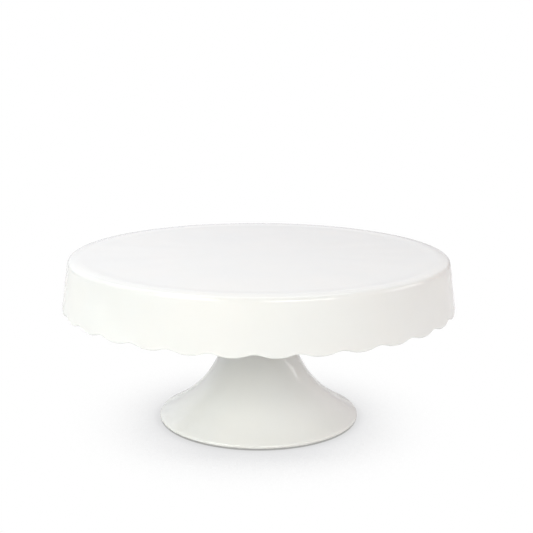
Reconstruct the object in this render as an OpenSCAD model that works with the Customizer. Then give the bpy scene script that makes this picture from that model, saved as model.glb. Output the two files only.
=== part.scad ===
// Two-piece porcelain cake stand: a flat plate with a scalloped drop skirt,
// clamped to a hollow trumpet pedestal by a winged hand screw from underneath.
// The origin is on the table under the middle of the foot, +Z is up, millimetres.

/* [Plate] */
// Diameter over the lower edge of the skirt
plate_d = 300; // [240:1:360]
// Thickness of the flat top
top_t = 5; // [4:0.5:8]
// Height of the skirt, from the top face down to the tips of the scallops
skirt_h = 39.5; // [25:0.5:55]
// Wall of the skirt
skirt_wall = 3.2; // [2.4:0.1:5]
// How much further out the skirt stands at its lower edge than at the shoulder
skirt_flare = 5; // [0:0.5:10]
// Outer radius of the rolled shoulder between the top and the skirt
shoulder_r = 4; // [2.5:0.25:7]
// Radius of the fillet inside the shoulder
inner_fillet = 3; // [1:0.25:6]

/* [Scallops] */
// Number of scallops round the lower edge
scallops = 32; // [16:1:48]
// Height of the notches between the scallops
scallop_depth = 2.3; // [1:0.1:5]
// Sharpness of the notches, where 1 is a plain wave
scallop_power = 1.5; // [1:0.1:3]

/* [Pedestal] */
// Height from the table to the top face of the plate
stand_h = 130; // [95:1:170]
// Diameter of the foot over its lip
foot_d = 155; // [120:1:200]
// Diameter that the trumpet would narrow to if it went on for ever
core_d = 36; // [32:0.5:48]
// Diameter of the head that carries the plate
head_d = 68; // [60:1:90]
// Height over which the flare under the head fades away
head_fade = 7; // [4:0.5:12]
// Wall of the pedestal
pedestal_wall = 4.5; // [3.5:0.5:6]
// Radius of the rolled edge of the foot
lip_round = 1.5; // [1:0.1:3]
// Angle of the trumpet's surface above the table where it meets the rolled edge
lip_slope = 27.6; // [20:0.2:40]
// Width of the flat unglazed ring that the foot stands on
ring_w = 9; // [8:0.5:14]

/* [Joint] */
// Depth of the boss under the middle of the plate
boss_h = 9; // [8:0.5:14]
// Diameter of that boss
boss_d = 30; // [22:1:36]
// Clearance round the boss in the pedestal's socket
boss_gap = 1; // [0.5:0.1:2]
// Clearance under the boss in the socket
boss_floor_gap = 2.7; // [1:0.1:5]
// Thickness of the socket's floor
floor_t = 6; // [4:0.5:9]
// Thickness of the gasket between the plate and the pedestal
gasket_t = 1.2; // [0.8:0.1:2.5]
// Width of the gasket ring
gasket_w = 11; // [6:0.5:14]

/* [Clamp screw] */
// Outside diameter of the screw's thread
screw_d = 6; // [5:0.5:8]
// Clearance on the radius between the screw and the threaded insert
thread_gap = 0.05; // [0.02:0.01:0.1]
// Clearance on the radius between the screw and its plain holes
hole_gap = 0.6; // [0.3:0.1:1]
// Outside diameter of the threaded insert
insert_d = 10; // [9:0.5:13]
// Length of the threaded insert
insert_l = 8.5; // [6:0.5:12]
// Closed end of the threaded insert
insert_end = 0.7; // [0.5:0.1:1.5]
// Thickness of the cement round the insert
cement_t = 0.5; // [0.3:0.1:1]
// How far the tight screw stays short of the insert's closed end
screw_end_gap = 0.8; // [0.4:0.1:2]
// Diameter of the rubber washer
rubber_d = 22; // [18:0.5:26]
// Thickness of the rubber washer
rubber_t = 1.5; // [1:0.1:3]
// Diameter of the steel washer
washer_d = 20; // [16:0.5:24]
// Thickness of the steel washer
washer_t = 1.2; // [0.8:0.1:2]
// Diameter of the knob's hub
hub_d = 14; // [12:0.5:18]
// Height of the knob's hub
hub_h = 13; // [10:0.5:18]
// Radius of each wing of the knob
wing_r = 6; // [4:0.5:8]
// Distance of each wing's centre from the screw's axis
wing_out = 6.5; // [4:0.5:8]
// Thickness of the wings
wing_t = 4; // [3:0.5:6]
// Length of the screw's shank that is moulded into the knob
shank_in_knob = 9; // [6:0.5:11]
// Width across the flats of the hexagon head moulded into the knob
head_flats = 9.5; // [8:0.5:11]
// Thickness of that head
head_t = 3; // [2:0.5:4]

/* [Pads] */
// Number of pads under the foot
pads = 4; // [3:1:6]
// Diameter of each pad
pad_d = 7; // [5:0.5:8]
// Height of each pad
pad_h = 1; // [0.6:0.1:2]

/* [Hidden] */
$fn = 96;
cut = 1;               // how far a cutting shape runs past the face that it opens
arc_steps = 8;         // straight steps in a quarter turn of an outline
curve_steps = 26;      // straight steps in the trumpet's outline
wave_steps = 20;       // straight steps across one scallop
wave_start = 0.004;    // share of the notch's height below which nothing is cut
cement_step = 0.2;     // how far the cement ends inside the mouth of its hole

plate_r = plate_d / 2;
under_z = stand_h - top_t;                       // underside of the flat top
tip_z = stand_h - skirt_h;                       // tips of the scallops
shoulder_out = plate_r - skirt_flare;            // outer radius where the shoulder meets the skirt
flare_angle = atan2(skirt_flare, skirt_h - shoulder_r);

seat_z = under_z - gasket_t;                     // top face of the pedestal
boss_z = under_z - boss_h;                       // lower face of the boss
socket_r = boss_d / 2 + boss_gap;
socket_z = boss_z - boss_floor_gap;              // floor of the socket
floor_z = socket_z - floor_t;                    // underside of that floor

screw_r = screw_d / 2;
plain_r = screw_r + hole_gap;
rubber_z = floor_z - rubber_t;
washer_z = rubber_z - washer_t;                  // the knob bears here
bore_end_z = boss_z + insert_l - insert_end;     // closed end of the insert's bore
screw_top_z = bore_end_z - screw_end_gap;

core_r = core_d / 2;
head_r = head_d / 2;
lip_centre = [foot_d / 2 - lip_round, pad_h + lip_round];
lip_end = lip_centre + lip_round * [sin(lip_slope), cos(lip_slope)];
foot_flare = lip_end[0] - core_r;                // what the foot adds to the core's radius
foot_fade = foot_flare * tan(lip_slope);         // height over which that fades away
head_flare = head_r - core_r - foot_flare * exp((lip_end[1] - seat_z) / foot_fade);
ring_in = lip_centre[0] - ring_w;                // inner edge of the standing ring
pad_ring_r = lip_centre[0] - ring_w / 2;

// Outer radius of the pedestal at a height.
function outer_r(z) =
    core_r + foot_flare * exp((lip_end[1] - z) / foot_fade) + head_flare * exp((z - seat_z) / head_fade);

// How fast that radius changes with height.
function outer_slope(z) =
    head_flare / head_fade * exp((z - seat_z) / head_fade)
    - foot_flare / foot_fade * exp((lip_end[1] - z) / foot_fade);

// The point of the inner wall that faces the outer wall at a height, as [r, z].
function inner_point(z) =
    let (slope = outer_slope(z))
    [outer_r(z), z] - pedestal_wall * [1, -slope] / sqrt(1 + slope * slope);

// Points of an arc, as [r, z], between two angles in degrees above the radial direction.
function arc(centre, r, from, to) =
    let (n = max(2, ceil(abs(to - from) / 90 * arc_steps)))
    [for (i = [0 : n]) let (a = from + (to - from) * i / n) centre + r * [cos(a), sin(a)]];

// Height of the skirt's lower edge above the scallop tips; u runs from -0.5 to 0.5 with the notch at 0.
function notch_h(u) = scallop_depth * pow((1 + cos(360 * u)) / 2, scallop_power);

// Moves and turns copies round the axis.
module around(count, radius, first = 0) {
    for (i = [0 : count - 1])
        rotate([0, 0, first + 360 * i / count])
            translate([radius, 0, 0])
                children();
}

// A disc with a hole, standing on a height.
module ring(z, height, outer, bore) {
    translate([0, 0, z])
        difference() {
            cylinder(h = height, r = outer);
            translate([0, 0, -cut])
                cylinder(h = height + 2 * cut, r = bore);
        }
}

// Half section of the plate's top, shoulder and skirt.
module plate_section() {
    shoulder_centre = [shoulder_out - shoulder_r, stand_h - shoulder_r];
    fillet_centre = [shoulder_out - skirt_wall - inner_fillet, under_z - inner_fillet];
    polygon(concat(
        [[0, stand_h]],
        arc(shoulder_centre, shoulder_r, 90, flare_angle),
        [[plate_r, tip_z], [plate_r - skirt_wall, tip_z]],
        arc(fillet_centre, inner_fillet, flare_angle, 90),
        [[0, under_z]]
    ));
}

// The space below one notch, as a prism that runs out through the skirt.
module notch_cutter() {
    pitch = 360 * plate_r / scallops * PI / 180;
    edge = [for (i = [0 : wave_steps])
        let (u = i / wave_steps - 0.5)
        if (notch_h(u) > wave_start * scallop_depth) [u * pitch, notch_h(u)]];
    reach = [edge[0][0], edge[len(edge) - 1][0]];
    rotate([90, 0, 90])
        linear_extrude(height = 2 * (skirt_wall + skirt_flare), center = true)
            translate([0, tip_z])
                polygon(concat([[reach[0], -cut]], edge, [[reach[1], -cut]]));
}

module plate() {
    color("white")
        difference() {
            union() {
                rotate_extrude() plate_section();
                translate([0, 0, boss_z])
                    cylinder(h = boss_h + top_t / 2, d = boss_d);
            }
            translate([0, 0, boss_z - cut])
                cylinder(h = boss_h + cut, r = insert_d / 2 + cement_t);
            around(scallops, plate_r) notch_cutter();
        }
}

module insert_cement() {
    color("gainsboro")
        difference() {
            translate([0, 0, boss_z + cement_step])
                cylinder(h = boss_h - cement_step, r = insert_d / 2 + cement_t);
            translate([0, 0, boss_z - cut])
                cylinder(h = insert_l + cut, r = insert_d / 2);
        }
}

module threaded_insert() {
    color("goldenrod")
        difference() {
            translate([0, 0, boss_z])
                cylinder(h = insert_l, r = insert_d / 2);
            translate([0, 0, boss_z - cut])
                cylinder(h = insert_l - insert_end + cut, r = screw_r + thread_gap);
        }
}

module seat_gasket() {
    color("whitesmoke")
        ring(seat_z, gasket_t, head_r - 1, head_r - 1 - gasket_w);
}

// Half section of the pedestal: the trumpet, its rolled edge, the standing ring and the hollow inside.
module pedestal_section() {
    heights = [for (i = [0 : curve_steps]) lip_end[1] + (seat_z - lip_end[1]) * i / curve_steps];
    outside = [for (i = [curve_steps : -1 : 0]) [outer_r(heights[i]), heights[i]]];
    inside = [for (z = heights) let (p = inner_point(z)) if (p[0] < ring_in && p[1] < floor_z) p];
    polygon(concat(
        [[0, seat_z]],
        outside,
        arc(lip_centre, lip_round, 90 - lip_slope, -90),
        [[ring_in, pad_h]],
        inside,
        [[inside[len(inside) - 1][0], floor_z], [0, floor_z]]
    ));
}

module pedestal() {
    color("white")
        difference() {
            rotate_extrude() pedestal_section();
            translate([0, 0, socket_z])
                cylinder(h = seat_z - socket_z + cut, r = socket_r);
            translate([0, 0, floor_z - cut])
                cylinder(h = floor_t + 2 * cut, r = plain_r);
        }
}

module rubber_washer() {
    color("dimgray")
        ring(rubber_z, rubber_t, rubber_d / 2, screw_r + hole_gap / 2);
}

module steel_washer() {
    color("silver")
        ring(washer_z, washer_t, washer_d / 2, screw_r + hole_gap / 2);
}

module screw_shank() {
    color("silver") {
        translate([0, 0, washer_z - shank_in_knob])
            cylinder(h = screw_top_z - washer_z + shank_in_knob, r = screw_r);
        translate([0, 0, washer_z - shank_in_knob - head_t])
            cylinder(h = head_t, d = head_flats / cos(30), $fn = 6);
    }
}

module screw_knob() {
    wing_z = washer_z - hub_h;
    color("dimgray")
        difference() {
            union() {
                translate([0, 0, wing_z])
                    cylinder(h = hub_h, d = hub_d);
                around(2, wing_out)
                    translate([0, 0, wing_z])
                        rotate([90, 0, 0])
                            cylinder(h = wing_t, r = wing_r, center = true);
            }
            translate([0, 0, washer_z - shank_in_knob])
                cylinder(h = shank_in_knob + cut, r = screw_r);
            translate([0, 0, washer_z - shank_in_knob - head_t])
                cylinder(h = head_t, d = head_flats / cos(30), $fn = 6);
        }
}

module foot_pads() {
    color("gainsboro")
        around(pads, pad_ring_r, 180 / pads)
            cylinder(h = pad_h, d = pad_d);
}

plate();
insert_cement();
threaded_insert();
seat_gasket();
pedestal();
rubber_washer();
steel_washer();
screw_shank();
screw_knob();
foot_pads();
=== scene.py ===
"""Looks of a two-piece porcelain cake stand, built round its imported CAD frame.

Lengths inside the classes of the stand are millimetres in the frame's own axes. A piece is scaled to metres
once, when it becomes an object. The studio's lengths are metres.
"""

import logging
import math
import random
from collections.abc import Callable, Iterable
from dataclasses import dataclass, field
from enum import Enum

import bmesh
import bpy
from mathutils import Matrix, Vector


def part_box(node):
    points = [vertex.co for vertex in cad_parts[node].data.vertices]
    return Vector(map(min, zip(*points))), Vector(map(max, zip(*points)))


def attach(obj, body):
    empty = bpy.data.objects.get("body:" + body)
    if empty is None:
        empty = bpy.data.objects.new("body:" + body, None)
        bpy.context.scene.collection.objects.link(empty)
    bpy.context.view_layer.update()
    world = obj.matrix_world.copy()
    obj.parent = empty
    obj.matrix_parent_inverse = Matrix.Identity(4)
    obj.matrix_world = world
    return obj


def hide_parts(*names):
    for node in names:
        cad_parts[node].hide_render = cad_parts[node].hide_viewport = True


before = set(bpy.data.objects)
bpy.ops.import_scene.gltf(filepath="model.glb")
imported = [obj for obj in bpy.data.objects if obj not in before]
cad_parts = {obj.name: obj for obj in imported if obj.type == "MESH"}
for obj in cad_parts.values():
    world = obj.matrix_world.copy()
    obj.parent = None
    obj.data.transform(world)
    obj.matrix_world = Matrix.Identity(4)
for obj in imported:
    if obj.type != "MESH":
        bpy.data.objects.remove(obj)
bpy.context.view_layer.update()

LOG = logging.getLogger("cake_stand")
MM = 0.001
WELD = 1e-4
SMOOTH_ANGLE = math.radians(38)


class Body(Enum):
    """The rigid bodies of the frame that the pieces ride on."""

    BASE = "base"
    TOP = "top"
    WASHERS = "washers"
    SCREW = "clamp_screw"


def linear(code: str) -> tuple[float, float, float, float]:
    """Turns an sRGB colour code into linear light.

    Args:
        code: Six hexadecimal digits after a hash sign.

    Returns:
        Red, green, blue and an alpha of 1.
    """
    shares = [int(code[i : i + 2], 16) / 255 for i in (1, 3, 5)]
    red, green, blue = (s / 12.92 if s <= 0.04045 else ((s + 0.055) / 1.055) ** 2.4 for s in shares)
    return (red, green, blue, 1.0)


def per_metre(size_mm: float) -> float:
    """Texture scale whose pattern repeats about once in this many millimetres."""
    return 1 / (size_mm * MM)


def add_node(
    tree: bpy.types.NodeTree,
    kind: str,
    inputs: dict | None = None,
    stops: tuple[tuple[float, str], ...] = (),
    **settings,
) -> bpy.types.Node:
    """Adds a node with its settings, its values and its links.

    Args:
        tree: The node tree that gets it.
        kind: The node's type name.
        inputs: Value, or the output socket to link, by the input's identifier or name.
        stops: Position and sRGB colour code of each stop of a colour ramp, in rising order.
        **settings: Properties of the node itself.

    Returns:
        The new node.
    """
    node = tree.nodes.new(kind)
    for name, value in settings.items():
        setattr(node, name, value)
    for name, value in (inputs or {}).items():
        named = [s for s in node.inputs if s.identifier == name] or [node.inputs[name]]
        if isinstance(value, bpy.types.NodeSocket):
            tree.links.new(value, named[0])
        else:
            named[0].default_value = value
    while len(stops) > len(node.color_ramp.elements if stops else ()):
        node.color_ramp.elements.new(0.5)
    for place, (position, code) in enumerate(stops):
        node.color_ramp.elements[place].position = position
        node.color_ramp.elements[place].color = linear(code)
    return node


# ---------------------------------------------------------------- finishes


@dataclass(frozen=True)
class Finish:
    """A surface finish. A subclass adds its own values and dresses the shader."""

    name: str
    ior: float = 1.5

    def material(self) -> bpy.types.Material:
        """Builds the material, once for each finish.

        Returns:
            The material with this finish's name.
        """
        made = bpy.data.materials.get(self.name)
        if made:
            return made
        made = bpy.data.materials.new(self.name)
        made.use_nodes = True
        tree = made.node_tree
        shader = tree.nodes["Principled BSDF"]
        shader.inputs["IOR"].default_value = self.ior
        place = add_node(tree, "ShaderNodeTexCoord").outputs["Object"]
        self.dress(tree, shader, place)
        return made

    def dress(self, tree: bpy.types.NodeTree, shader: bpy.types.Node, place: bpy.types.NodeSocket) -> None:
        """Adds the finish's own nodes.

        Args:
            tree: The material's node tree.
            shader: Its Principled BSDF.
            place: The object coordinates that patterns read.
        """
        raise NotImplementedError


@dataclass(frozen=True)
class GlazedPorcelain(Finish):
    """High-fired white porcelain under a clear glossy glaze.

    The glaze pools and ripples a little, so that reflections bend, and it leaves a few pinholes. They are
    drawn about half again as wide as real ones, so that they show, and greyer inside, which is painted
    shade in the holes.
    """

    body: str = "#e8e8e5"
    body_cool: str = "#e6e7e5"
    # Grey inside the pinholes: painted shade in the holes.
    pinhole_painted_shade: str = "#b9b3ad"
    drift_mm: float = 60.0
    cloud_mm: float = 18.0
    ripple_mm: float = 34.0
    ripple_depth: float = 0.05
    peel_mm: float = 2.4
    peel_depth: float = 0.004
    pit_every_mm: float = 34.0
    pit_mm: float = 0.45
    pit_depth: float = 0.15
    through: float = 0.12
    shine: tuple[float, float] = (0.05, 0.12)

    def dress(self, tree: bpy.types.NodeTree, shader: bpy.types.Node, place: bpy.types.NodeSocket) -> None:
        """Adds the tone drift, the pinholes with painted shade in them, the uneven shine and the ripples.
        """
        drift = add_node(
            tree, "ShaderNodeTexNoise", {"Vector": place, "Scale": per_metre(self.drift_mm), "Detail": 2.0}
        )
        shades = ((0.35, self.body), (0.65, self.body_cool))
        tone = add_node(tree, "ShaderNodeValToRGB", {"Fac": drift.outputs["Fac"]}, shades)
        cells = add_node(
            tree,
            "ShaderNodeTexVoronoi",
            {"Vector": place, "Scale": per_metre(self.pit_every_mm), "Randomness": 1.0},
        )
        depth = add_node(
            tree,
            "ShaderNodeMapRange",
            {
                "Value": cells.outputs["Distance"],
                "From Min": 0.3 * self.pit_mm / self.pit_every_mm,
                "From Max": self.pit_mm / self.pit_every_mm,
                "To Min": 1.0,
                "To Max": 0.0,
            },
            interpolation_type="SMOOTHSTEP",
        ).outputs["Result"]
        # Painted shade: each pinhole is drawn greyer inside, besides its dent.
        colour = add_node(
            tree,
            "ShaderNodeMix",
            {"Factor_Float": depth, "A_Color": tone.outputs["Color"], "B_Color": linear(self.pinhole_painted_shade)},
            data_type="RGBA",
        )
        tree.links.new(colour.outputs["Result"], shader.inputs["Base Color"])
        cloud = add_node(
            tree, "ShaderNodeTexNoise", {"Vector": place, "Scale": per_metre(self.cloud_mm), "Detail": 3.0}
        )
        rough = add_node(
            tree,
            "ShaderNodeMapRange",
            {
                "Value": cloud.outputs["Fac"],
                "From Min": 0.3,
                "From Max": 0.7,
                "To Min": self.shine[0],
                "To Max": self.shine[1],
            },
        )
        tree.links.new(rough.outputs["Result"], shader.inputs["Roughness"])
        ripple = add_node(
            tree, "ShaderNodeTexNoise", {"Vector": place, "Scale": per_metre(self.ripple_mm), "Detail": 1.0}
        )
        peel = add_node(
            tree, "ShaderNodeTexNoise", {"Vector": place, "Scale": per_metre(self.peel_mm), "Detail": 2.0}
        )
        sag = add_node(
            tree,
            "ShaderNodeBump",
            {"Height": ripple.outputs["Fac"], "Distance": self.ripple_depth * MM, "Strength": 1.0},
        )
        skin = add_node(
            tree,
            "ShaderNodeBump",
            {
                "Height": peel.outputs["Fac"],
                "Distance": self.peel_depth * MM,
                "Strength": 1.0,
                "Normal": sag.outputs["Normal"],
            },
        )
        dimple = add_node(
            tree,
            "ShaderNodeBump",
            {
                "Height": depth,
                "Distance": self.pit_depth * MM,
                "Strength": 1.0,
                "Normal": skin.outputs["Normal"],
            },
            invert=True,
        )
        tree.links.new(dimple.outputs["Normal"], shader.inputs["Normal"])
        shader.inputs["Subsurface Weight"].default_value = self.through
        shader.inputs["Subsurface Radius"].default_value = (1.0, 0.92, 0.85)
        shader.inputs["Subsurface Scale"].default_value = 2.5 * MM


@dataclass(frozen=True)
class Grained(Finish):
    """A non-metal with a fine grain: bare fired clay, rubber, moulded plastic or set cement.

    The grain shows as a faint speckle and as a bump, and a wider cloud as uneven colour. The grain is drawn
    several times as coarse as the real one, so that it shows.
    """

    light: str = "#eeeae2"
    dark: str = "#e2dcd2"
    cloud_mm: float = 12.0
    grain_mm: float = 0.6
    grain_depth: float = 0.03
    shine: tuple[float, float] = (0.6, 0.8)
    through: float = 0.0

    def dress(self, tree: bpy.types.NodeTree, shader: bpy.types.Node, place: bpy.types.NodeSocket) -> None:
        """Adds the cloudy colour, the grain and the uneven shine."""
        cloud = add_node(
            tree, "ShaderNodeTexNoise", {"Vector": place, "Scale": per_metre(self.cloud_mm), "Detail": 4.0}
        )
        grain = add_node(
            tree, "ShaderNodeTexNoise", {"Vector": place, "Scale": per_metre(self.grain_mm), "Detail": 3.0}
        )
        blend = add_node(
            tree,
            "ShaderNodeMix",
            {"Factor_Float": 0.4, "A_Float": cloud.outputs["Fac"], "B_Float": grain.outputs["Fac"]},
            data_type="FLOAT",
        )
        shades = ((0.38, self.dark), (0.62, self.light))
        tone = add_node(tree, "ShaderNodeValToRGB", {"Fac": blend.outputs["Result"]}, shades)
        tree.links.new(tone.outputs["Color"], shader.inputs["Base Color"])
        rough = add_node(
            tree,
            "ShaderNodeMapRange",
            {"Value": cloud.outputs["Fac"], "To Min": self.shine[0], "To Max": self.shine[1]},
        )
        tree.links.new(rough.outputs["Result"], shader.inputs["Roughness"])
        bump = add_node(
            tree,
            "ShaderNodeBump",
            {"Height": grain.outputs["Fac"], "Distance": self.grain_depth * MM, "Strength": 1.0},
        )
        tree.links.new(bump.outputs["Normal"], shader.inputs["Normal"])
        shader.inputs["Subsurface Weight"].default_value = self.through
        shader.inputs["Subsurface Scale"].default_value = 1.5 * MM


@dataclass(frozen=True)
class TurnedMetal(Finish):
    """Metal cut on a lathe.

    Fine rings round the axis catch the light as streaks, and wear dulls parts of it. The rings are drawn
    about three times as wide as a tool leaves them, so that they show.
    """

    light: str = "#c9c9ca"
    dark: str = "#a9a9ab"
    streak_mm: float = 5.0
    ring_mm: float = 0.35
    ring_depth: float = 0.008
    shine: tuple[float, float] = (0.18, 0.36)

    def dress(self, tree: bpy.types.NodeTree, shader: bpy.types.Node, place: bpy.types.NodeSocket) -> None:
        """Adds the tool's rings, the tarnish and the uneven shine."""
        shader.inputs["Metallic"].default_value = 1.0
        stretched = add_node(tree, "ShaderNodeMapping", {"Vector": place, "Scale": (1.0, 1.0, 14.0)})
        streak = add_node(
            tree,
            "ShaderNodeTexNoise",
            {"Vector": stretched.outputs["Vector"], "Scale": per_metre(self.streak_mm), "Detail": 4.0},
        )
        shades = ((0.35, self.dark), (0.65, self.light))
        tone = add_node(tree, "ShaderNodeValToRGB", {"Fac": streak.outputs["Fac"]}, shades)
        tree.links.new(tone.outputs["Color"], shader.inputs["Base Color"])
        rough = add_node(
            tree,
            "ShaderNodeMapRange",
            {"Value": streak.outputs["Fac"], "To Min": self.shine[0], "To Max": self.shine[1]},
        )
        tree.links.new(rough.outputs["Result"], shader.inputs["Roughness"])
        scale = per_metre(self.ring_mm * math.tau)
        rings = add_node(
            tree,
            "ShaderNodeTexWave",
            {"Vector": place, "Scale": scale, "Distortion": 0.6, "Detail": 2.0},
            wave_type="RINGS",
            rings_direction="Z",
        )
        bump = add_node(
            tree,
            "ShaderNodeBump",
            {"Height": rings.outputs["Fac"], "Distance": self.ring_depth * MM, "Strength": 1.0},
        )
        tree.links.new(bump.outputs["Normal"], shader.inputs["Normal"])


# Glazed tableware porcelain, dipped: white and glossy with long soft ripples.
GLAZE = GlazedPorcelain("porcelain_dipped_clear_glaze", ior=1.52)
# The same clay without glaze where it stood in the kiln: matt, sugary and a little greyer.
BISCUIT = Grained("porcelain_bare_fired", light="#efeae1", dark="#ddd6ca", grain_mm=0.5, through=0.05)
# Cast silicone: a milky rubber with a satin skin.
SILICONE = Grained(
    "silicone_cast",
    ior=1.41,
    light="#e4e5e3",
    dark="#d6d8d7",
    cloud_mm=6.0,
    grain_mm=0.4,
    grain_depth=0.006,
    shine=(0.38, 0.52),
    through=0.35,
)
# Nitrile rubber, punched from sheet: black and dull with a dusty bloom.
NITRILE = Grained(
    "nitrile_rubber_punched",
    ior=1.52,
    light="#3a3a3b",
    dark="#1d1d1e",
    cloud_mm=5.0,
    grain_mm=0.35,
    grain_depth=0.02,
    shine=(0.7, 0.88),
)
# Glass-filled nylon from a spark-eroded mould: charcoal with an even fine grain.
NYLON = Grained(
    "nylon_moulded_fine_grain",
    ior=1.53,
    light="#37383a",
    dark="#2a2b2d",
    cloud_mm=8.0,
    grain_mm=0.45,
    grain_depth=0.025,
    shine=(0.42, 0.58),
)
# Poured gypsum cement: chalky and pale grey with tiny voids.
CEMENT = Grained(
    "gypsum_cement_poured",
    ior=1.52,
    light="#d6d3cb",
    dark="#b5b1a8",
    cloud_mm=3.0,
    grain_mm=0.3,
    grain_depth=0.05,
    shine=(0.8, 0.95),
)
# Stainless screw stock, thread rolled: bright with drawn streaks.
STAINLESS = TurnedMetal("stainless_thread_rolled")
# Stainless washer, stamped and tumbled: greyer, and duller than the screw.
STAMPED = TurnedMetal(
    "stainless_stamped_tumbled", light="#bcbcbd", dark="#98989b", ring_mm=0.6, shine=(0.28, 0.48)
)
# Free-cutting brass, turned: warm yellow with tool rings.
BRASS = TurnedMetal("brass_turned", light="#d9b56a", dark="#b28a41", shine=(0.2, 0.38))


# ---------------------------------------------------------------- turning


@dataclass(frozen=True)
class Corner:
    """A corner of an outline, at a radius and a height, rounded off by a radius of its own."""

    r: float
    z: float
    round: float = 0.0


class Outline:
    """Half section of a turned piece, in millimetres, which is spun about the Z axis.

    Attributes:
        corners: The corners in order. An open outline starts and ends on the axis.
        closed: Whether the last corner joins the first.
    """

    ARC_STEPS = 10
    SUPPORT = 0.25

    def __init__(self, closed: bool = False) -> None:
        """Starts an empty outline.

        Args:
            closed: Whether the outline is a ring that doesn't reach the axis.
        """
        self.corners: list[Corner] = []
        self.closed = closed

    def to(self, r: float, z: float, round: float = 0.0) -> "Outline":
        """Goes straight to a corner.

        Args:
            r: The corner's radius.
            z: Its height.
            round: The radius of its rounding.

        Returns:
            The outline itself, so that calls chain.
        """
        self.corners.append(Corner(r, z, round))
        return self

    def along(self, curve: Iterable[tuple[float, float]]) -> "Outline":
        """Follows a curve's points, each a radius and a height, and returns the outline."""
        self.corners.extend(Corner(r, z) for r, z in curve)
        return self

    def spun(
        self, steps: int, longest: float, fine_r: float = -1.0, fine: float = 1.0
    ) -> bmesh.types.BMesh:
        """Rounds the corners and spins the outline into a closed skin.

        Args:
            steps: Number of steps round the axis.
            longest: The longest straight edge that the outline keeps.
            fine_r: Radius of a cylinder whose edges are kept shorter.
            fine: The longest edge on that cylinder.

        Returns:
            The skin, welded, with its faces turned outwards.
        """
        bm = bmesh.new()
        verts = [bm.verts.new((c.r, 0, c.z)) for c in self.corners]
        for a, b in zip(verts, verts[1:]):
            bm.edges.new((a, b))
        if self.closed:
            bm.edges.new((verts[-1], verts[0]))
        for vert, corner in zip(verts, self.corners, strict=True):
            if corner.round:
                self._round_off(bm, vert, corner.round)
        for edge in list(bm.edges):
            on_fine = all(abs(v.co.x - fine_r) < WELD for v in edge.verts)
            cuts = math.ceil(edge.calc_length() / (fine if on_fine else longest)) - 1
            if cuts > 0:
                bmesh.ops.subdivide_edges(bm, edges=[edge], cuts=cuts)
        bmesh.ops.spin(
            bm,
            geom=bm.verts[:] + bm.edges[:],
            cent=(0, 0, 0),
            axis=(0, 0, 1),
            dvec=(0, 0, 0),
            angle=math.tau,
            steps=steps,
            use_merge=True,
            use_duplicate=False,
        )
        return settle(bm)

    def _round_off(self, bm: bmesh.types.BMesh, vert: bmesh.types.BMVert, radius: float) -> None:
        """Replaces a corner by an arc that meets both its edges.

        Args:
            bm: The outline's mesh.
            vert: The corner.
            radius: The arc's radius.
        """
        before, after = (edge.other_vert(vert).co - vert.co for edge in vert.link_edges)
        half = before.angle(after) / 2
        turn = math.pi - 2 * half
        made = bmesh.ops.bevel(
            bm,
            geom=[vert],
            offset=radius / math.tan(half),
            affect="VERTICES",
            segments=max(3, round(self.ARC_STEPS * turn / (math.pi / 2))),
            profile=0.5,
            material=-1,
        )
        arc = set(made["verts"])
        for end in [v for v in arc if any(e.other_vert(v) not in arc for e in v.link_edges)]:
            for edge in [e for e in end.link_edges if e.other_vert(end) not in arc]:
                if edge.calc_length() > 6 * self.SUPPORT:
                    bmesh.utils.edge_split(edge, end, self.SUPPORT / edge.calc_length())


def settle(bm: bmesh.types.BMesh) -> bmesh.types.BMesh:
    """Welds a closed skin, drops its empty faces and turns its faces outwards.

    Args:
        bm: The skin.

    Returns:
        The same skin.
    """
    bmesh.ops.remove_doubles(bm, verts=bm.verts, dist=WELD)
    bmesh.ops.dissolve_degenerate(bm, dist=WELD, edges=bm.edges)
    bmesh.ops.recalc_face_normals(bm, faces=bm.faces)
    return bm


def azimuth(vert: bmesh.types.BMVert) -> float:
    """Angle of a point round the axis, in radians."""
    return math.atan2(vert.co.y, vert.co.x)


def radius(co: Vector) -> float:
    """Distance of a place from the axis."""
    return math.hypot(co.x, co.y)


def shift_out(vert: bmesh.types.BMVert, by: float) -> None:
    """Moves a point away from the axis, or towards it for a negative distance."""
    here = radius(vert.co)
    if here > WELD:
        vert.co.xy *= (here + by) / here


def smoothstep(x: float) -> float:
    """Rises smoothly from 0 to 1 as x goes from 0 to 1."""
    x = min(1.0, max(0.0, x))
    return x * x * (3 - 2 * x)


@dataclass(frozen=True)
class Thread:
    """A right-hand V thread with flattened crests, cut into a spun cylinder.

    Attributes:
        low: Height where the thread starts.
        high: Height where it ends.
        pitch: Rise in one turn.
        depth: Height of the thread, positive outwards from the cylinder and negative inwards.
        fade: Height over which it runs out at each end.
        flat: Share of the pitch that is flat at the crest, and again at the root.
        phase: Share of a turn by which it is rotated.
    """

    low: float
    high: float
    pitch: float
    depth: float
    fade: float
    flat: float = 0.16
    phase: float = 0.0

    def cut(self, verts: Iterable[bmesh.types.BMVert]) -> None:
        """Moves points in and out along the helix.

        Args:
            verts: The points of the cylinder.
        """
        for vert in verts:
            inside = min(vert.co.z - self.low, self.high - vert.co.z)
            turn = (vert.co.z / self.pitch - azimuth(vert) / math.tau + self.phase) % 1
            wave = abs(2 * turn - 1)
            tooth = min(1.0, max(0.0, (wave - self.flat) / (1 - 2 * self.flat)))
            shift_out(vert, self.depth * tooth * smoothstep(inside / self.fade))


# ---------------------------------------------------------------- pieces


def low_corner(node: str) -> Vector:
    """Lowest corner of a CAD node, in millimetres."""
    return Vector(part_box(node)[0]) / MM


def high_corner(node: str) -> Vector:
    """Highest corner of a CAD node, in millimetres."""
    return Vector(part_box(node)[1]) / MM


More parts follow.
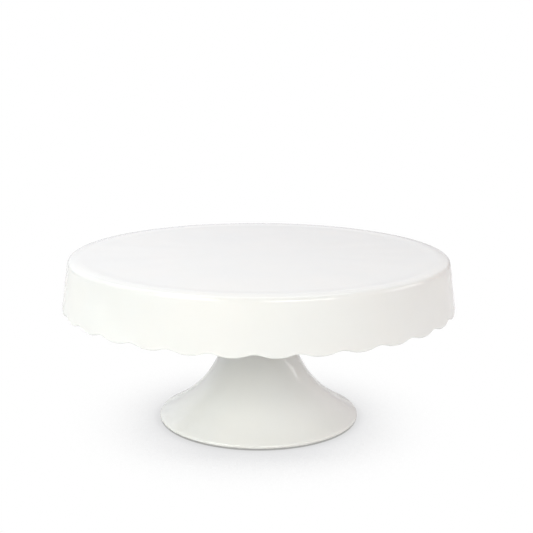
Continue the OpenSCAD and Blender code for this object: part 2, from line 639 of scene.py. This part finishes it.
def make_piece(
    name: str, bm: bmesh.types.BMesh, finishes: list[Finish], body: Body, node: str
) -> bpy.types.Object:
    """Turns a finished skin into a piece that stands for a CAD node.

    Args:
        name: The piece's name.
        bm: Its skin in millimetres, which is freed.
        finishes: Its finishes, in the order of the faces' material numbers.
        body: The body that it rides on.
        node: The CAD node that it replaces.

    Returns:
        The new object.
    """
    bmesh.ops.scale(bm, vec=(MM, MM, MM), verts=bm.verts)
    for face in bm.faces:
        face.smooth = True
    mesh = bpy.data.meshes.new(name)
    bm.to_mesh(mesh)
    bm.free()
    mesh.set_sharp_from_angle(angle=SMOOTH_ANGLE)
    for finish in finishes:
        mesh.materials.append(finish.material())
    piece = bpy.data.objects.new(name, mesh)
    bpy.context.scene.collection.objects.link(piece)
    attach(piece, body.value)
    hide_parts(node)
    LOG.info("%s: %d faces on %s", name, len(mesh.polygons), body.value)
    return piece


def paint(bm: bmesh.types.BMesh, number: int, test: Callable[[Vector, Vector], bool]) -> None:
    """Gives faces a material number.

    Args:
        bm: The skin.
        number: The material's number.
        test: Says yes to a face from its middle and its normal.
    """
    for face in bm.faces:
        if test(face.calc_center_median(), face.normal):
            face.material_index = number


@dataclass
class Plate:
    """The flat top with its scalloped skirt and its boss, and the cement that holds the insert in the boss.
    """

    rim_r: float = 150.0
    flare: float = 5.0
    wall: float = 3.2
    top_t: float = 5.0
    shoulder_round: float = 4.0
    dish: float = 0.2
    dish_in: float = 17.0
    crown_in: float = 8.0
    crown_drop: float = 1.0
    edge_round: float = 1.35
    fillet: float = 3.0
    boss_r: float = 15.0
    boss_h: float = 9.0
    boss_fillet: float = 2.5
    hole_r: float = 5.5
    scallops: int = 32
    scallop_depth: float = 2.3
    scallop_power: float = 1.5
    scallop_fade: float = 14.0
    wobble: float = 0.16
    steps_per_scallop: int = 20
    top_z: float = field(default_factory=lambda: high_corner("plate").z)
    tip_z: float = field(default_factory=lambda: low_corner("plate").z)

    @property
    def under_z(self) -> float:
        """Height of the underside of the flat top."""
        return self.top_z - self.top_t

    @property
    def slant(self) -> float:
        """How far the skirt goes out for each millimetre down."""
        return self.flare / (self.top_z - self.shoulder_round - self.tip_z)

    def notch(self, angle: float) -> float:
        """Height of the skirt's edge above the scallop tips.

        Args:
            angle: Azimuth in radians, with a notch at 0.

        Returns:
            The height in millimetres.
        """
        wave = (1 + math.cos(self.scallops * angle)) / 2
        return self.scallop_depth * wave**self.scallop_power

    def scallop(self, bm: bmesh.types.BMesh) -> None:
        """Lifts the skirt's edge along the scallops, and fades the lift out up the skirt."""
        full = self.tip_z + 1.6 * self.edge_round
        for vert in bm.verts:
            if radius(vert.co) < self.rim_r - self.flare - self.wall - self.fillet:
                continue
            share = 1 - smoothstep((vert.co.z - full) / self.scallop_fade)
            lift = share * self.notch(azimuth(vert))
            vert.co.z += lift
            shift_out(vert, -lift * self.slant)

    def warp(self, bm: bmesh.types.BMesh) -> None:
        """Adds the slight waviness that the clay takes on in the kiln, always towards the inside."""
        dice = random.Random(7)
        waves = [(order, dice.uniform(0, math.tau), 1 / math.sqrt(order)) for order in (3, 5, 8, 13, 21)]
        total = sum(weight for _, _, weight in waves)
        shoulder = self.rim_r - self.flare - self.shoulder_round
        for vert in bm.verts:
            here = radius(vert.co)
            angle = azimuth(vert)
            drop = (self.top_z - vert.co.z) / (self.top_z - self.tip_z)
            wave = sum(w * math.sin(n * angle + p + 1.8 * n**0.5 * drop) for n, p, w in waves) / total
            inward = self.wobble * (wave - 1)
            if here > shoulder:
                shift_out(vert, inward * smoothstep((here - shoulder) / self.shoulder_round))
            if here > self.boss_r + self.boss_fillet and vert.co.z > self.under_z - WELD:
                vert.co.z += inward * 0.6 * smoothstep((here - 40) / 60)

    def outline(self) -> Outline:
        """Draws the half section from the middle of the top, round the skirt, to the blind hole."""
        shoulder = self.rim_r - self.flare
        edge_r = shoulder + (self.crown_drop - self.shoulder_round) * self.slant
        inner_r = shoulder - self.wall + self.slant * (self.shoulder_round - self.top_t)
        boss_z = self.under_z - self.boss_h
        return (
            Outline()
            .to(0, self.top_z - self.dish)
            .to(shoulder - self.dish_in, self.top_z - self.dish, 90)
            .to(shoulder - self.crown_in, self.top_z + 0.1, 26)
            .to(edge_r, self.top_z - self.crown_drop, 3.2)
            .to(self.rim_r, self.tip_z, self.edge_round)
            .to(self.rim_r - self.wall, self.tip_z, self.edge_round)
            .to(inner_r, self.under_z, self.fillet)
            .to(self.boss_r, self.under_z, self.boss_fillet)
            .to(self.boss_r, boss_z, 0.8)
            .to(self.hole_r, boss_z, 0.3)
            .to(self.hole_r, self.under_z)
            .to(0, self.under_z)
        )

    def build(self) -> bpy.types.Object:
        """Builds the porcelain.

        Returns:
            The plate.
        """
        bm = self.outline().spun(self.scallops * self.steps_per_scallop, 8.0)
        boss_z = self.under_z - self.boss_h
        paint(bm, 1, lambda at, normal: at.z < boss_z + 0.9 and radius(at) < self.boss_r)
        self.scallop(bm)
        self.warp(bm)
        return make_piece("plate_porcelain", bm, [GLAZE, BISCUIT], Body.TOP, "plate")

    def build_cement(self) -> bpy.types.Object:
        """Builds the cement between the boss and the insert, with a sunken ring at its mouth.

        Returns:
            The cement.
        """
        low, high = low_corner("insert_cement").z, high_corner("insert_cement").z
        insert_r, insert_top = high_corner("threaded_insert").x, high_corner("threaded_insert").z
        outline = (
            Outline()
            .to(0, insert_top)
            .to(insert_r, insert_top)
            .to(insert_r, low + 0.05, 0.1)
            .to((insert_r + self.hole_r) / 2, low + 0.2, 0.1)
            .to(self.hole_r, low, 0.1)
            .to(self.hole_r, high)
            .to(0, high)
        )
        bm = outline.spun(64, 2.0)
        return make_piece("cement_ring", bm, [CEMENT], Body.TOP, "insert_cement")


@dataclass
class Insert:
    """Closed brass insert with a knurled outside and an M6 thread."""

    bore_r: float = 3.05
    thread_depth: float = 0.52
    pitch: float = 1.0
    end_t: float = 0.7
    chamfer: float = 0.5
    knurl_depth: float = 0.12
    knurls: int = 36
    outer_r: float = field(default_factory=lambda: high_corner("threaded_insert").x)
    low: float = field(default_factory=lambda: low_corner("threaded_insert").z)
    high: float = field(default_factory=lambda: high_corner("threaded_insert").z)

    def build(self) -> bpy.types.Object:
        """Turns the insert, knurls it and taps it.

        Returns:
            The insert.
        """
        groove = (self.low + self.high) / 2
        outline = (
            Outline()
            .to(0, self.high)
            .to(self.outer_r - 0.5, self.high)
            .to(self.outer_r, self.high - 0.5)
            .to(self.outer_r, groove + 0.8)
            .to(self.outer_r - 0.6, groove + 0.5)
            .to(self.outer_r - 0.6, groove - 0.5)
            .to(self.outer_r, groove - 0.8)
            .to(self.outer_r, self.low, 0.15)
            .to(self.bore_r + self.chamfer, self.low)
            .to(self.bore_r, self.low + self.chamfer)
            .to(self.bore_r, self.high - self.end_t)
            .to(0, self.high - self.end_t)
        )
        bm = outline.spun(self.knurls * 4, 1.0, self.bore_r, self.pitch / 12)
        bore = [v for v in bm.verts if abs(radius(v.co) - self.bore_r) < WELD]
        Thread(self.low, self.high - self.end_t, self.pitch, -self.thread_depth, 0.6, phase=0.5).cut(bore)
        for vert in bm.verts:
            if radius(vert.co) > self.outer_r - WELD:
                share = smoothstep((vert.co.z - self.low - 0.4) / 0.4)
                wave = (1 + math.cos(self.knurls * azimuth(vert) + 3 * vert.co.z)) / 2
                shift_out(vert, -self.knurl_depth * share * wave)
        return make_piece("threaded_insert_m6", bm, [BRASS], Body.TOP, "threaded_insert")


@dataclass
class Pedestal:
    """The hollow trumpet with its socket head, its gasket and its pads.

    The outer wall is a straight tube of core_r that flares out exponentially towards both ends.
    """

    foot_r: float = field(default_factory=lambda: high_corner("pedestal").x)
    core_r: float = 18.0
    head_r: float = 34.0
    head_fade: float = 7.0
    wall: float = 4.5
    lip_round: float = 1.5
    lip_slope: float = math.radians(27.6)
    ring_w: float = 9.0
    socket_r: float = 16.0
    socket_deep: float = 10.5
    floor_t: float = 6.0
    hole_r: float = 3.6
    gasket_w: float = 11.0
    pad_r: float = 3.5
    pads: int = 4
    steps: int = 192
    curve_steps: int = 60
    lip_steps: int = 12
    foot_z: float = field(default_factory=lambda: low_corner("pedestal").z)
    seat_z: float = field(default_factory=lambda: high_corner("pedestal").z)

    def __post_init__(self) -> None:
        """Works out where the trumpet meets its rolled edge, and how it flares."""
        away = Vector((math.sin(self.lip_slope), math.cos(self.lip_slope)))
        self.lip_centre = Vector((self.foot_r - self.lip_round, self.foot_z + self.lip_round))
        self.lip_end = self.lip_centre + self.lip_round * away
        self.foot_flare = self.lip_end.x - self.core_r
        self.foot_fade = self.foot_flare * math.tan(self.lip_slope)
        foot_share = self.foot_flare * math.exp((self.lip_end.y - self.seat_z) / self.foot_fade)
        self.head_flare = self.head_r - self.core_r - foot_share

    def outer(self, z: float) -> Vector:
        """Point of the outer wall at a height, as radius and height."""
        foot = self.foot_flare * math.exp((self.lip_end.y - z) / self.foot_fade)
        head = self.head_flare * math.exp((z - self.seat_z) / self.head_fade)
        return Vector((self.core_r + foot + head, z))

    def inner(self, z: float) -> Vector:
        """Point of the inner wall that faces the outer wall's point at a height."""
        along = self.outer(z + 0.01) - self.outer(z - 0.01)
        return self.outer(z) - self.wall * Vector((along.y, -along.x)).normalized()

    def outline(self) -> Outline:
        """Draws the half section from the socket over the head, down the trumpet and up the hollow."""
        span = self.seat_z - self.lip_end.y
        heights = [self.lip_end.y + span * i / self.curve_steps for i in range(self.curve_steps + 1)]
        outside = [self.outer(z) for z in reversed(heights)][1:]
        floor_z = self.seat_z - self.socket_deep - self.floor_t
        ring_in = self.lip_centre.x - self.ring_w
        inside = [p for p in map(self.inner, heights) if p.x < ring_in - 0.5 and p.y < floor_z - 3]
        step = (math.pi - self.lip_slope) / self.lip_steps
        turns = [math.pi / 2 - self.lip_slope - step * i for i in range(1, self.lip_steps)]
        arc = [self.lip_centre + self.lip_round * Vector((math.cos(a), math.sin(a))) for a in turns]
        return (
            Outline(closed=True)
            .to(self.hole_r, self.seat_z - self.socket_deep, 0.4)
            .to(self.socket_r, self.seat_z - self.socket_deep, 1.5)
            .to(self.socket_r, self.seat_z, 0.7)
            .to(self.head_r, self.seat_z, 0.8)
            .along(tuple(p) for p in outside)
            .along(tuple(p) for p in arc)
            .to(self.lip_centre.x, self.foot_z)
            .to(ring_in, self.foot_z, 1.0)
            .along(tuple(p) for p in inside)
            .to(inside[-1].x, floor_z, 2.0)
            .to(self.hole_r, floor_z, 0.4)
        )

    def build(self) -> bpy.types.Object:
        """Builds the porcelain, bare where it stood in the kiln and where the gasket seats.

        Returns:
            The pedestal.
        """
        bm = self.outline().spun(self.steps, 6.0)
        ring_in = self.lip_centre.x - self.ring_w
        low, high = self.foot_z + 0.2, self.seat_z - 0.2
        paint(bm, 1, lambda at, normal: normal.z < -0.9 and ring_in < radius(at) and at.z < low)
        paint(bm, 1, lambda at, normal: normal.z > 0.9 and radius(at) > self.socket_r and at.z > high)
        finishes = [GLAZE, BISCUIT]
        return make_piece("pedestal_porcelain", bm, finishes, Body.BASE, "pedestal")

    def build_gasket(self) -> bpy.types.Object:
        """Builds the silicone ring, squeezed a little so that its edges bulge.

        Returns:
            The gasket.
        """
        low, high = low_corner("seat_gasket").z, high_corner("seat_gasket").z
        outer_r = high_corner("seat_gasket").x
        edge = (high - low) * 0.45
        outline = (
            Outline(closed=True)
            .to(outer_r - self.gasket_w, low, edge)
            .to(outer_r, low, edge)
            .to(outer_r, high, edge)
            .to(outer_r - self.gasket_w, high, edge)
        )
        bm = outline.spun(128, 3.0)
        return make_piece("gasket_ring", bm, [SILICONE], Body.BASE, "seat_gasket")

    def build_pads(self) -> bpy.types.Object:
        """Builds one pad and copies it round the foot.

        Returns:
            The pads.
        """
        pad_h = self.foot_z
        outline = Outline().to(0, 0).to(self.pad_r, 0, 0.6).to(self.pad_r - 0.05, pad_h, 0.15).to(0, pad_h)
        bm = outline.spun(40, 1.5)
        out = self.lip_centre.x - self.ring_w / 2
        bmesh.ops.translate(bm, vec=(out, 0, 0), verts=bm.verts)
        first = bm.verts[:] + bm.edges[:] + bm.faces[:]
        turn = Matrix.Rotation(math.pi / self.pads, 3, "Z")
        bmesh.ops.rotate(bm, cent=(0, 0, 0), matrix=turn, verts=bm.verts)
        for i in range(1, self.pads):
            copy = bmesh.ops.duplicate(bm, geom=first)["geom"]
            verts = [v for v in copy if isinstance(v, bmesh.types.BMVert)]
            turn = Matrix.Rotation(math.tau * i / self.pads, 3, "Z")
            bmesh.ops.rotate(bm, cent=(0, 0, 0), matrix=turn, verts=verts)
        return make_piece("silicone_pads", bm, [SILICONE], Body.BASE, "foot_pads")


@dataclass
class ClampScrew:
    """The hand screw with its two washers."""

    thread_depth: float = 0.55
    pitch: float = 1.0
    threaded: float = 20.0
    shank_r: float = 3.0
    hexagon_h: float = 3.0
    bore_r: float = 3.3
    hub_r: float = 7.0
    wing_r: float = 6.0
    wing_out: float = 6.5
    wing_t: float = 4.0
    wing_dish: float = 0.7
    melt_cell: float = 0.3
    melt_passes: int = 4

    def build_washer(
        self, node: str, name: str, finish: Finish, edge: float
    ) -> bpy.types.Object:
        """Builds a flat ring with rounded edges.

        Args:
            node: The CAD node that it stands for.
            name: The piece's name.
            finish: Its finish.
            edge: Radius of its edges.

        Returns:
            The washer.
        """
        low, high = low_corner(node), high_corner(node)
        outline = (
            Outline(closed=True)
            .to(self.bore_r, low.z, edge)
            .to(high.x, low.z, edge)
            .to(high.x, high.z, edge)
            .to(self.bore_r, high.z, edge)
        )
        return make_piece(name, outline.spun(96, 1.5), [finish], Body.WASHERS, node)

    def build_shank(self) -> bpy.types.Object:
        """Turns the shank, rolls its thread and sets the hexagon head on its end.

        Returns:
            The screw's metal part.
        """
        low, high = low_corner("screw_shank"), high_corner("screw_shank")
        outline = (
            Outline()
            .to(0, high.z)
            .to(self.shank_r - 0.8, high.z)
            .to(self.shank_r, high.z - 0.8)
            .to(self.shank_r, low.z + 2)
            .to(0, low.z + 2)
        )
        bm = outline.spun(48, 1.0, self.shank_r, self.pitch / 12)
        stem = [v for v in bm.verts if abs(radius(v.co) - self.shank_r) < WELD]
        Thread(high.z - self.threaded, high.z + 1, self.pitch, -self.thread_depth, 1.2).cut(stem)
        head = bmesh.ops.create_cone(
            bm, cap_ends=True, segments=6, radius1=high.x, radius2=high.x, depth=self.hexagon_h
        )["verts"]
        bmesh.ops.translate(bm, vec=(0, 0, low.z + self.hexagon_h / 2), verts=head)
        return make_piece("screw_m6", bm, [STAINLESS], Body.SCREW, "screw_shank")

    def build_knob(self) -> bpy.types.Object:
        """Moulds the knob: a hub and two dished wings, melted together.

        Returns:
            The knob.
        """
        low, high = low_corner("screw_knob"), high_corner("screw_knob")
        wing_z = low.z + self.wing_r
        hub = (
            Outline()
            .to(0, high.z)
            .to(self.hub_r, high.z, 0.5)
            .to(self.hub_r - 0.6, wing_z, 2.5)
            .to(0, wing_z - 1.5)
        )
        bm = hub.spun(64, 1.0)
        half = self.wing_t / 2
        thin = half - self.wing_dish
        upright = Matrix.Rotation(math.pi / 2, 3, "X")
        for side in (-1, 1):
            disc = (
                Outline()
                .to(0, thin)
                .to(self.wing_r - 2.2, thin, 1.0)
                .to(self.wing_r - 1.6, half, 0.5)
                .to(self.wing_r, half, 0.9)
                .to(self.wing_r, -half, 0.9)
                .to(self.wing_r - 1.6, -half, 0.5)
                .to(self.wing_r - 2.2, -thin, 1.0)
                .to(0, -thin)
            ).spun(64, 1.0)
            bmesh.ops.rotate(disc, cent=(0, 0, 0), matrix=upright, verts=disc.verts)
            bmesh.ops.translate(disc, vec=(side * self.wing_out, 0, wing_z), verts=disc.verts)
            part = bpy.data.meshes.new("wing")
            disc.to_mesh(part)
            disc.free()
            bm.from_mesh(part)
            bpy.data.meshes.remove(part)
        skin = melted(bm, self.melt_cell, self.melt_passes)
        return make_piece("wing_knob", skin, [NYLON], Body.SCREW, "screw_knob")


def melted(bm: bmesh.types.BMesh, grain: float, passes: int) -> bmesh.types.BMesh:
    """Joins overlapping closed skins into one, with soft inner corners as a mould leaves them.

    Args:
        bm: The overlapping skins, which are freed.
        grain: Size of the cells that the joined skin is rebuilt from.
        passes: Number of smoothing passes.

    Returns:
        The joined skin.
    """
    mesh = bpy.data.meshes.new("melting")
    bm.to_mesh(mesh)
    bm.free()
    holder = bpy.data.objects.new("melting", mesh)
    bpy.context.scene.collection.objects.link(holder)
    cells = holder.modifiers.new("cells", "REMESH")
    cells.mode = "VOXEL"
    cells.voxel_size = grain
    graph = bpy.context.evaluated_depsgraph_get()
    joined = bmesh.new()
    joined.from_mesh(holder.evaluated_get(graph).to_mesh())
    holder.evaluated_get(graph).to_mesh_clear()
    bpy.data.objects.remove(holder)
    bpy.data.meshes.remove(mesh)
    for _ in range(passes):
        bmesh.ops.smooth_vert(
            joined, verts=joined.verts, factor=0.5, use_axis_x=True, use_axis_y=True, use_axis_z=True
        )
    return settle(joined)


# ---------------------------------------------------------------- studio


@dataclass(frozen=True)
class Glow:
    """A pale patch of the room, bright along one direction and fading away from it.

    Attributes:
        axis: The direction of its middle.
        power: How narrow it is.
        light: Its red, green and blue radiance.
    """

    axis: tuple[float, float, float]
    power: float
    light: tuple[float, float, float]


@dataclass(frozen=True)
class Softbox:
    """An evenly lit rectangle that faces the stand.

    Attributes:
        name: Its name.
        azimuth: Its direction in degrees, from the front towards the right.
        elevation: Its height above the horizon in degrees.
        size: Its width and height in metres.
        watts: Its power.
        tint: Its linear colour.
    """

    name: str
    azimuth: float
    elevation: float
    size: tuple[float, float]
    watts: float
    tint: tuple[float, float, float]


@dataclass
class Studio:
    """Pale floor, soft light and the camera.

    Attributes:
        floor_r: Radius of the floor.
        floor: Its colour, as the stand sees it.
        halo_mm: How far from the foot the floor's painted shadow reaches.
        halo: Colours of the floor's painted shadow for the camera, from under the foot to where nothing is
            near.
        halo_lean: How much lighter the painted shadow is beside and behind the foot than in front.
        glows: Pale patches of the room.
        horizon: Height, as a share of the radius of view, where the room has its full light.
        horizon_glow: The share of that light at the horizon.
        softboxes: The lights.
        softbox_away: Their distance from the aim.
        aim: The place that they face.
        distance: The camera's distance from the axis.
        height: Its height.
        turned: Angle in radians by which it is moved round the axis.
        pitch: How far it looks down, in radians.
        yaw: How far it looks to the right, in radians.
        roll: Its tilt, in radians.
        lens: Its focal length in millimetres.
    """

    floor_r: float = 1.6
    floor: str = "#f2f2f2"
    halo_mm: float = 80.0
    halo: tuple[tuple[float, str], ...] = (
        (0.3, "#a4a4a2"),
        (0.48, "#dddddd"),
        (0.93, "#e3e3e4"),
        (1.0, "#ffffff"),
    )
    halo_lean: float = 0.025
    glows: tuple[Glow, ...] = (
        Glow((-0.7, 1.0, 0.35), 3.0, (1.2, 1.21, 1.27)),
        Glow((0.7, 1.0, 0.0), 3.0, (0.56, 0.52, 0.54)),
        Glow((1.0, 0.0, 0.1), 2.0, (0.58, 0.51, 0.48)),
    )
    horizon: float = 0.3
    horizon_glow: float = 0.7
    softboxes: tuple[Softbox, ...] = (
        Softbox("left_softbox", -40, 25, (1.2, 0.75), 18.8, (0.98, 1.0, 0.94)),
        Softbox("upper_softbox", -50, 44, (0.9, 0.5), 6.3, (0.98, 0.98, 1.0)),
        Softbox("right_softbox", 25, 24, (1.3, 0.8), 15.0, (1.0, 0.98, 0.97)),
        Softbox("side_softbox", 95, 24, (1.0, 0.7), 4.8, (1.0, 0.97, 0.97)),
        Softbox("back_softbox", -148, 63, (2.5, 1.7), 20.5, (0.97, 0.99, 1.0)),
    )
    softbox_away: float = 2.0
    aim: tuple[float, float, float] = (0.0, 0.0, 0.09)
    distance: float = 0.7829
    height: float = 0.2837
    turned: float = 0.019
    pitch: float = 0.207
    yaw: float = 0.0073
    roll: float = 0.005
    lens: float = 70.3

    def build_floor(self) -> None:
        """Lays a wide matt disc under the stand. The camera sees it glow white with a painted shadow round
        the foot, darkest in front, and other rays see matt paper.
        """
        bm = bmesh.new()
        bmesh.ops.create_circle(bm, cap_ends=True, segments=96, radius=self.floor_r)
        mesh = bpy.data.meshes.new("floor")
        bm.to_mesh(mesh)
        bm.free()
        material = bpy.data.materials.new("paper_with_painted_shadow")
        material.use_nodes = True
        tree = material.node_tree
        paper = add_node(tree, "ShaderNodeBsdfDiffuse", {"Color": linear(self.floor)})
        near = add_node(tree, "ShaderNodeAmbientOcclusion", {"Distance": self.halo_mm * MM}, samples=16)
        place = add_node(tree, "ShaderNodeTexCoord").outputs["Object"]
        split = add_node(tree, "ShaderNodeSeparateXYZ", {"Vector": place})
        # Painted shadow: the occlusion is raised beside and behind the foot, so the painted shadow is
        # darkest in front.
        front, beside = -90 * MM, -20 * MM
        behind = add_node(
            tree,
            "ShaderNodeMapRange",
            {"Value": split.outputs["Y"], "From Min": front, "From Max": beside, "To Max": self.halo_lean},
        )
        clear = add_node(
            tree,
            "ShaderNodeMath",
            {"Value": near.outputs["AO"], "Value_001": behind.outputs["Result"]},
            operation="ADD",
        )
        # Painted shadow: the camera sees the floor glow in this ramp of the occlusion, grey near the foot
        # and white away from it.
        pale = add_node(tree, "ShaderNodeValToRGB", {"Fac": clear.outputs["Value"]}, self.halo)
        glow = add_node(tree, "ShaderNodeEmission", {"Color": pale.outputs["Color"], "Strength": 1.0})
        seen = add_node(tree, "ShaderNodeLightPath").outputs["Is Camera Ray"]
        shown = add_node(tree, "ShaderNodeMixShader", {"Fac": seen})
        tree.links.new(paper.outputs["BSDF"], shown.inputs[1])
        tree.links.new(glow.outputs["Emission"], shown.inputs[2])
        tree.links.new(shown.outputs["Shader"], tree.nodes["Material Output"].inputs["Surface"])
        mesh.materials.append(material)
        floor = bpy.data.objects.new("floor", mesh)
        bpy.context.scene.collection.objects.link(floor)

    def build_world(self) -> None:
        """Surrounds the stand with pale patches of light. The camera itself sees plain white."""
        world = bpy.data.worlds.new("white_room")
        bpy.context.scene.world = world
        world.use_nodes = True
        tree = world.node_tree
        place = add_node(tree, "ShaderNodeTexCoord").outputs["Generated"]
        total = (0.0, 0.0, 0.0)
        for glow in self.glows:
            lean = add_node(
                tree,
                "ShaderNodeVectorMath",
                {"Vector": place, "Vector_001": Vector(glow.axis).normalized()},
                operation="DOT_PRODUCT",
            )
            near = add_node(
                tree,
                "ShaderNodeMath",
                {"Value": lean.outputs["Value"], "Value_001": 0.0},
                operation="MAXIMUM",
            )
            fade = add_node(
                tree,
                "ShaderNodeMath",
                {"Value": near.outputs["Value"], "Value_001": glow.power},
                operation="POWER",
            )
            lit = add_node(
                tree,
                "ShaderNodeVectorMath",
                {"Vector": fade.outputs["Value"], "Vector_001": glow.light, "Vector_002": total},
                operation="MULTIPLY_ADD",
            )
            total = lit.outputs["Vector"]
        split = add_node(tree, "ShaderNodeSeparateXYZ", {"Vector": place})
        rise = add_node(
            tree,
            "ShaderNodeMapRange",
            {"Value": split.outputs["Z"], "From Max": self.horizon, "To Min": self.horizon_glow},
        )
        room = add_node(
            tree,
            "ShaderNodeVectorMath",
            {"Vector": total, "Scale": rise.outputs["Result"]},
            operation="SCALE",
        )
        seen = add_node(tree, "ShaderNodeLightPath").outputs["Is Camera Ray"]
        shown = add_node(
            tree,
            "ShaderNodeMix",
            {"Factor_Float": seen, "A_Color": room.outputs["Vector"], "B_Color": (1.0, 1.0, 1.0, 1.0)},
            data_type="RGBA",
        )
        tree.links.new(shown.outputs["Result"], tree.nodes["Background"].inputs["Color"])

    def build_light(self, softbox: Softbox) -> None:
        """Hangs a light that faces the stand.

        Args:
            softbox: The light.
        """
        light = bpy.data.lights.new(softbox.name, "AREA")
        light.shape = "RECTANGLE"
        light.size, light.size_y = softbox.size
        light.energy = softbox.watts
        light.color = softbox.tint
        lamp = bpy.data.objects.new(softbox.name, light)
        side, up = math.radians(softbox.azimuth), math.radians(softbox.elevation)
        away = Vector((math.sin(side) * math.cos(up), -math.cos(side) * math.cos(up), math.sin(up)))
        lamp.location = Vector(self.aim) + self.softbox_away * away
        lamp.rotation_euler = (-away).to_track_quat("-Z", "Y").to_euler()
        bpy.context.scene.collection.objects.link(lamp)

    def build_camera(self) -> None:
        """Sets up the camera in front of the stand, a little above it."""
        camera = bpy.data.cameras.new("camera")
        camera.lens = self.lens
        holder = bpy.data.objects.new("camera", camera)
        turn = Matrix.Rotation(self.turned, 4, "Z")
        ahead = Matrix.Rotation(-self.yaw, 4, "Z") @ Matrix.Rotation(math.pi / 2 - self.pitch, 4, "X")
        tilt = Matrix.Rotation(self.roll, 4, "Z")
        place = Matrix.Translation((0, -self.distance, self.height))
        holder.matrix_world = turn @ place @ ahead @ tilt
        bpy.context.scene.collection.objects.link(holder)
        bpy.context.scene.camera = holder

    def build(self) -> None:
        """Builds the floor, the room, the lights and the camera."""
        bpy.context.scene.view_settings.view_transform = "Standard"
        self.build_floor()
        self.build_world()
        for softbox in self.softboxes:
            self.build_light(softbox)
        self.build_camera()


def clear_scene() -> None:
    """Removes what an empty Blender file starts with and the frame doesn't own."""
    for name in ("Cube", "Light", "Camera"):
        start = bpy.data.objects.get(name)
        if start:
            bpy.data.objects.remove(start)


def main() -> None:
    """Builds the studio and the stand, piece by piece."""
    logging.basicConfig(level=logging.INFO, format="%(name)s: %(message)s")
    clear_scene()
    Studio().build()
    plate = Plate()
    plate.build()
    plate.build_cement()
    Insert().build()
    pedestal = Pedestal()
    pedestal.build()
    pedestal.build_gasket()
    pedestal.build_pads()
    screw = ClampScrew()
    screw.build_washer("rubber_washer", "rubber_ring", NITRILE, 0.3)
    screw.build_washer("steel_washer", "steel_ring", STAMPED, 0.2)
    screw.build_shank()
    screw.build_knob()


if __name__ == "__main__":
    main()
